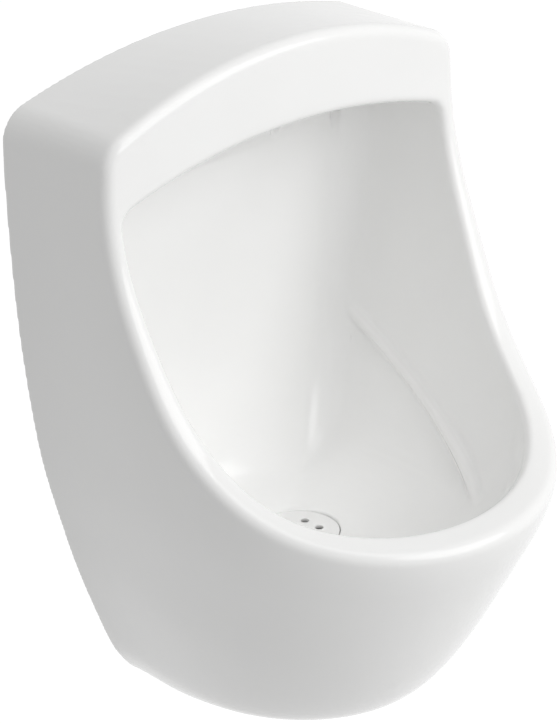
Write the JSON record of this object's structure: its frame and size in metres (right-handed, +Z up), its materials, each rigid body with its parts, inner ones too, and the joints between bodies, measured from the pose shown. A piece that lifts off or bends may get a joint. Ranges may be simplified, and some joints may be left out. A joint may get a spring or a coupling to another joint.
{
  "type": "wall-hung urinal",
  "caption": "White wall-hung ceramic urinal with an arched top, tall oval bowl, splash ribs, lift-out strainer, concealed back inlet, hidden trap and wall hooks.",
  "frame": {"origin": "centre of the four hook screws on the wall plane", "axes": "+X to the right as the user faces it, +Y into the wall, +Z up"},
  "size_m": [0.3696, 0.3871, 0.5557],
  "materials": {
    "ceramic": "white glazed vitreous china, smooth and glossy",
    "white_plastic": "smooth white moulded plastic",
    "rubber": "matt black",
    "raw_brass": "turned, unplated",
    "chromed_brass": "polished plating",
    "zinc_steel": "zinc plated"
  },
  "bodies": {
    "urinal": {"arm_rosette": "chromed_brass", "ceramic_body": "ceramic", "hanger_screw_1": "zinc_steel", "hanger_screw_2": "zinc_steel", "hanger_screw_3": "zinc_steel", "hanger_screw_4": "zinc_steel", "hanger_washer_1": "zinc_steel", "hanger_washer_2": "zinc_steel", "hanger_washer_3": "zinc_steel", "hanger_washer_4": "zinc_steel", "inlet_pipe": "chromed_brass", "inlet_seal": "rubber", "left_hanger": "zinc_steel", "right_hanger": "zinc_steel", "trap_arm": "white_plastic", "trap_bend": "white_plastic", "trap_inlet_nut": "white_plastic", "trap_inlet_washer": "rubber", "trap_plug": "white_plastic", "trap_plug_seal": "rubber", "trap_union_nut": "white_plastic", "trap_union_washer": "rubber", "waste_backnut": "raw_brass", "waste_flange_seal": "rubber", "waste_lower_washer": "rubber", "waste_outlet": "raw_brass"},
    "strainer": {"strainer": "white_plastic"}
  },
  "joints": [
    {"name": "strainer_lift", "type": "slide", "parent": "urinal", "child": "strainer", "axis": [0, 0, 1], "range_m": [0, 0.06]}
  ]
}
